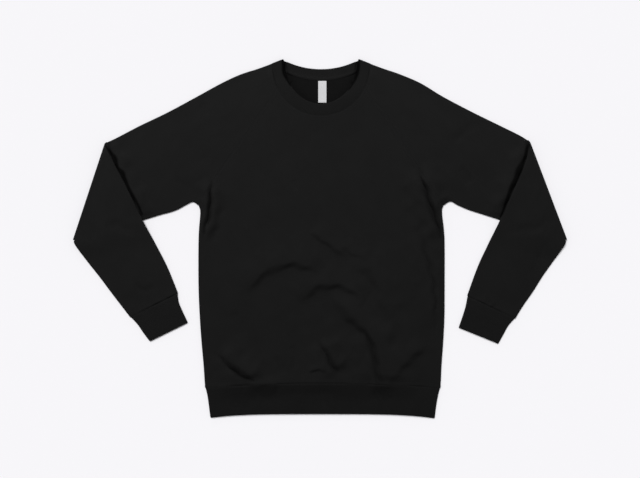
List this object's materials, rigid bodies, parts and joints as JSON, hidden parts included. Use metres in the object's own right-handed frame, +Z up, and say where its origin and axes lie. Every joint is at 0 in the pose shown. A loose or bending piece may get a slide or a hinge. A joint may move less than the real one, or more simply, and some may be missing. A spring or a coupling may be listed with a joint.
{
  "type": "crewneck sweatshirt",
  "caption": "Raglan crewneck sweatshirt laid flat, front up, with rib neckband, cuffs and hem and both sleeves folded forward at the elbow.",
  "frame": {"origin": "on the surface the garment rests on, at the middle of its overall width and length", "axes": "+Z up, out of the front of the garment; +Y towards the neck; +X to the right as seen from above, across the garment's width"},
  "size_m": [1.0092, 0.7362, 0.0149],
  "materials": {
    "fleece": "black brushed-back cotton fleece, matt knit face",
    "rib": "black rib knit, folded double",
    "label": "white woven tape, blank"
  },
  "bodies": {
    "root": {"back_panel": "fleece", "front_panel": "fleece", "sleeve_left": "fleece", "sleeve_right": "fleece", "cuff_left": "rib", "cuff_right": "rib", "hem_band": "rib", "neckband": "rib", "neck_label": "label"}
  },
  "joints": []
}
